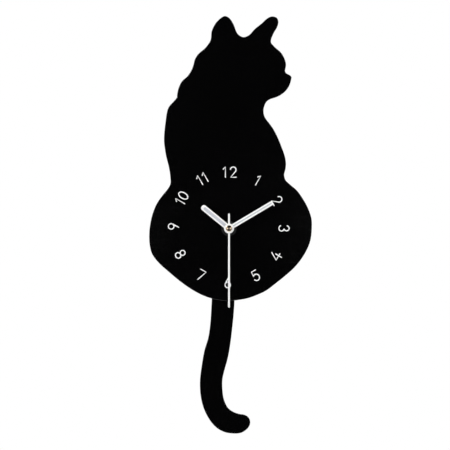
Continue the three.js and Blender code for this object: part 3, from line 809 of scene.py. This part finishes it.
def coverMarkings():
    plan = coverPlan
    floorY, above = -plan["sunk"] * millimetre, millimetre
    bm = bmesh.new()
    addPlate(bm, arrowOutline(plan["arrow"]), floorY, above)
    sign = plan["signs"]
    reach, half, down = sign["reach"], sign["half"], -sign["below"]
    plus = [(-reach, -half), (-half, -half), (-half, -reach), (half, -reach), (half, -half), (reach, -half),
            (reach, half), (half, half), (half, reach), (-half, reach), (-half, half), (-reach, half)]
    minus = [(-reach, -half), (reach, -half), (reach, half), (-reach, half)]
    addPlate(bm, shifted(plus, sign["at"], down), floorY, above)
    addPlate(bm, shifted(minus, -sign["at"], down), floorY, above)
    side, bottom, top = (plan["label"][key] for key in ("half", "from", "to"))
    recess = [(-side, bottom), (side, bottom), (side, top), (-side, top)]
    addPlate(bm, recess, floorY * plan["labelShare"], above)
    turns = [2 * math.pi * i / plan["pinSides"] for i in range(plan["pinSides"])]
    ring = [(plan["pinRadius"] * math.cos(turn), plan["pinRadius"] * math.sin(turn)) for turn in turns]
    for x, z in plan["pins"]:
        addPlate(bm, shifted(ring, x, z), floorY * plan["pinShare"], above)
    bmesh.ops.recalc_face_normals(bm, faces=bm.faces)
    bmesh.ops.translate(bm, verts=bm.verts, vec=(handAxis.x, 0, handAxis.z))
    return bm


def makeBackCover():
    bm = softenEdges(copyOf("back_cover"), coverPlan["edge"])
    bm = carved(bm, coverMarkings())
    return asPiece("backCover", bm, "clock_body", finishes["black_plastic"], ("back_cover",))


def makeMarkPaint():
    plan = coverPlan
    bm = bmesh.new()
    # its underside goes a little into the cover
    depths = (-(plan["sunk"] + 0.05) * millimetre, -(plan["sunk"] - plan["paint"]) * millimetre)
    addPlate(bm, arrowOutline(plan["arrow"]), *depths)
    bmesh.ops.recalc_face_normals(bm, faces=bm.faces)
    bmesh.ops.translate(bm, verts=bm.verts, vec=(handAxis.x, 0, handAxis.z))
    return asPiece("arrowPaint", bm, "clock_body", paperFinish)


makeBackCover()
makeMarkPaint()


# Paper label in the cover's recess, printed with how the battery goes in

labelPlan = {
    "half": 16.4, "from": -56.4, "to": -41.6, "corner": 1.2, "under": 0.17, "surface": 0.08,
    "ink": 0.03, "line": 0.7,
    "cell": {"half": 10.5, "from": -52.5, "to": -45.5, "nub": 1.6, "nubHalf": 1.3},
    "sign": {"half": 1.5, "fromEnd": 3.5},
}


def addBar(bm, x, z, depths):
    low = (x[0] * millimetre, depths[0], z[0] * millimetre)
    high = (x[1] * millimetre, depths[1], z[1] * millimetre)
    addBlock(bm, low, high)


def makeLabel():
    plan = labelPlan
    surface = -plan["surface"] * millimetre
    paper = bmesh.new()
    under = -plan["under"] * millimetre
    addBar(paper, (-plan["half"], plan["half"]), (plan["from"], plan["to"]), (under, surface))
    roundCorners(paper, plan["corner"] * millimetre, 4)
    printed = bmesh.new()
    depths = (surface - 0.02 * millimetre, surface + plan["ink"] * millimetre)
    cell, line = plan["cell"], plan["line"]
    half, bottom, top = cell["half"], cell["from"], cell["to"]
    middle = (bottom + top) / 2
    addBar(printed, (-half, half), (bottom, bottom + line), depths)
    addBar(printed, (-half, half), (top - line, top), depths)
    addBar(printed, (-half, -half + line), (bottom + line, top - line), depths)
    addBar(printed, (half - line, half), (bottom + line, top - line), depths)
    addBar(printed, (half, half + cell["nub"]), (middle - cell["nubHalf"], middle + cell["nubHalf"]), depths)
    sign = plan["sign"]["half"]
    level = (middle - line / 2, middle + line / 2)
    plus, minus = half - plan["sign"]["fromEnd"], -half + plan["sign"]["fromEnd"]
    addBar(printed, (plus - sign, plus + sign), level, depths)
    addBar(printed, (plus - line / 2, plus + line / 2), (level[1], middle + sign), depths)
    addBar(printed, (plus - line / 2, plus + line / 2), (middle - sign, level[0]), depths)
    addBar(printed, (minus - sign, minus + sign), level, depths)
    for bm, name, slot, finish in ((paper, "batteryLabel", "white_paint", paperFinish),
                                   (printed, "labelPrint", "black_plastic", finishes["black_plastic"])):
        bmesh.ops.translate(bm, verts=bm.verts, vec=(handAxis.x, 0, handAxis.z))
        asPiece(name, bm, "clock_body", finish)


makeLabel()


# Front case, with a window in each side wall for the cover's latches

casePlan = {
    "edge": 0.45, "windows": (-50, -8, 20), "length": 6.0, "depths": (-2.9, -4.5), "deep": 0.7,
    "tongue": {"inset": 0.5, "insetDeep": 0.2, "proud": 0.35, "root": 0.1, "edge": 0.2},
}


def makeFrontCase():
    plan = casePlan
    low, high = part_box("front_case")
    cutter, tongues = bmesh.new(), bmesh.new()
    rear, front = (depth * millimetre for depth in plan["depths"])
    inset, insetDeep, proud, root = (
        plan["tongue"][key] * millimetre for key in ("inset", "insetDeep", "proud", "root"))
    for side, wall in ((-1, low.x), (1, high.x)):
        floorX = wall - side * plan["deep"] * millimetre
        for along in plan["windows"]:
            bottom = handAxis.z + along * millimetre
            top = bottom + plan["length"] * millimetre
            across = sorted((floorX, wall + side * millimetre))
            addBlock(cutter, (across[0], front, bottom), (across[1], rear, top))
            across = sorted((floorX - side * root, floorX + side * proud))
            corner = (across[0], front + insetDeep, bottom + inset)
            addBlock(tongues, corner, (across[1], rear - insetDeep, top - inset))
    bm = carved(softenEdges(copyOf("front_case"), plan["edge"]), cutter)
    softenEdges(tongues, plan["tongue"]["edge"])
    asPiece("coverLatches", tongues, "clock_body", finishes["black_plastic"])
    return asPiece("frontCase", bm, "clock_body", finishes["black_plastic"], ("front_case",))


makeFrontCase()
print("case made")


# Battery, turned round the X axis

batteryPlan = {
    "sides": 48, "radius": 7.0, "nub": 2.7, "crimp": 0.35, "recess": 0.3, "shoulder": 0.8, "washer": 4.4,
    "bodyEnd": 1.2,
}


def makeBattery():
    low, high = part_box("battery")
    middle = centreOf("battery")
    radius, nub, crimp, recess, shoulder, washer, bodyEnd = (
        batteryPlan[key] * millimetre
        for key in ("radius", "nub", "crimp", "recess", "shoulder", "washer", "bodyEnd"))
    left, right = low.x, high.x - bodyEnd
    profile = [
        (0, left + recess * 0.3), (radius * 0.72, left + recess * 0.3), (radius * 0.76, left + recess),
        (radius * 0.84, left + recess), (radius * 0.88, left), (radius - crimp, left), (radius, left + crimp),
        (radius, left + crimp * 3), (radius - 0.12 * millimetre, left + crimp * 3.6),
        (radius, left + crimp * 4.4), (radius, right - shoulder * 1.5),
        (radius - 0.05 * millimetre, right - shoulder), (radius - shoulder * 0.5, right - shoulder * 0.2),
        (radius - shoulder, right), (washer, right - 0.02 * millimetre), (washer, right - 0.2 * millimetre),
        (nub, right - 0.2 * millimetre), (nub, high.x - 0.35 * millimetre), (nub - 0.35 * millimetre, high.x),
        (0, high.x),
    ]
    bm = bmesh.new()
    ring = [bm.verts.new((x, 0, outward)) for outward, x in profile]
    edges = [bm.edges.new(pair) for pair in zip(ring, ring[1:])]
    bmesh.ops.spin(bm, geom=ring + edges, cent=(0, 0, 0), axis=(1, 0, 0), angle=2 * math.pi,
                   steps=batteryPlan["sides"], use_merge=True, use_duplicate=False)
    bmesh.ops.remove_doubles(bm, verts=bm.verts, dist=cleaning["weld"])
    bmesh.ops.recalc_face_normals(bm, faces=bm.faces)
    bmesh.ops.translate(bm, verts=bm.verts, vec=(0, middle.y, middle.z))
    return asPiece("batteryCell", bm, "battery", finishes["cell_jacket"], ("battery",))


makeBattery()


# Tail screws with a cross recess, and the other pieces seen from behind

screwPlan = {"edge": 0.1, "slotHalf": 0.22, "slotReach": 1.0, "slotDeep": 0.6, "turn": (18, 52)}


def makeTailScrew(node, name, turn):
    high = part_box(node)[1]
    middle = centreOf(node)
    half, reach, deep = (screwPlan[key] * millimetre for key in ("slotHalf", "slotReach", "slotDeep"))
    cutter = bmesh.new()
    addBlock(cutter, (-half, -deep, -reach), (half, millimetre, reach))
    cross = bmesh.new()
    addBlock(cross, (-reach, -deep, -half), (reach, millimetre, half))
    turned = Matrix.Rotation(math.radians(turn), 3, "Y")
    for arm in (cutter, cross):
        bmesh.ops.rotate(arm, verts=arm.verts, cent=(0, 0, 0), matrix=turned)
        bmesh.ops.translate(arm, verts=arm.verts, vec=(middle.x, high.y, middle.z))
    bm = carved(carved(copyOf(node), cutter), cross)
    softenEdges(bm, screwPlan["edge"], 1)
    return asPiece(name, bm, bodyOf(node), finishes[slotOf[node]], (node,))


makeTailScrew("tail_screw_1", "tailScrewLeft", screwPlan["turn"][0])
makeTailScrew("tail_screw_2", "tailScrewRight", screwPlan["turn"][1])
for node, name, edge in (
    ("hanger_plate", "hangerPlate", 0.18), ("tail_bracket", "tailBracket", 0.15),
    ("pendulum_lever", "pendulumLever", 0.2), ("setting_knob", "settingKnob", 0.12),
    ("positive_contact", "positiveContact", 0.08), ("negative_contact", "negativeContact", 0.08),
):
    simpleCopy(node, name, edge)
print("movement dressed")
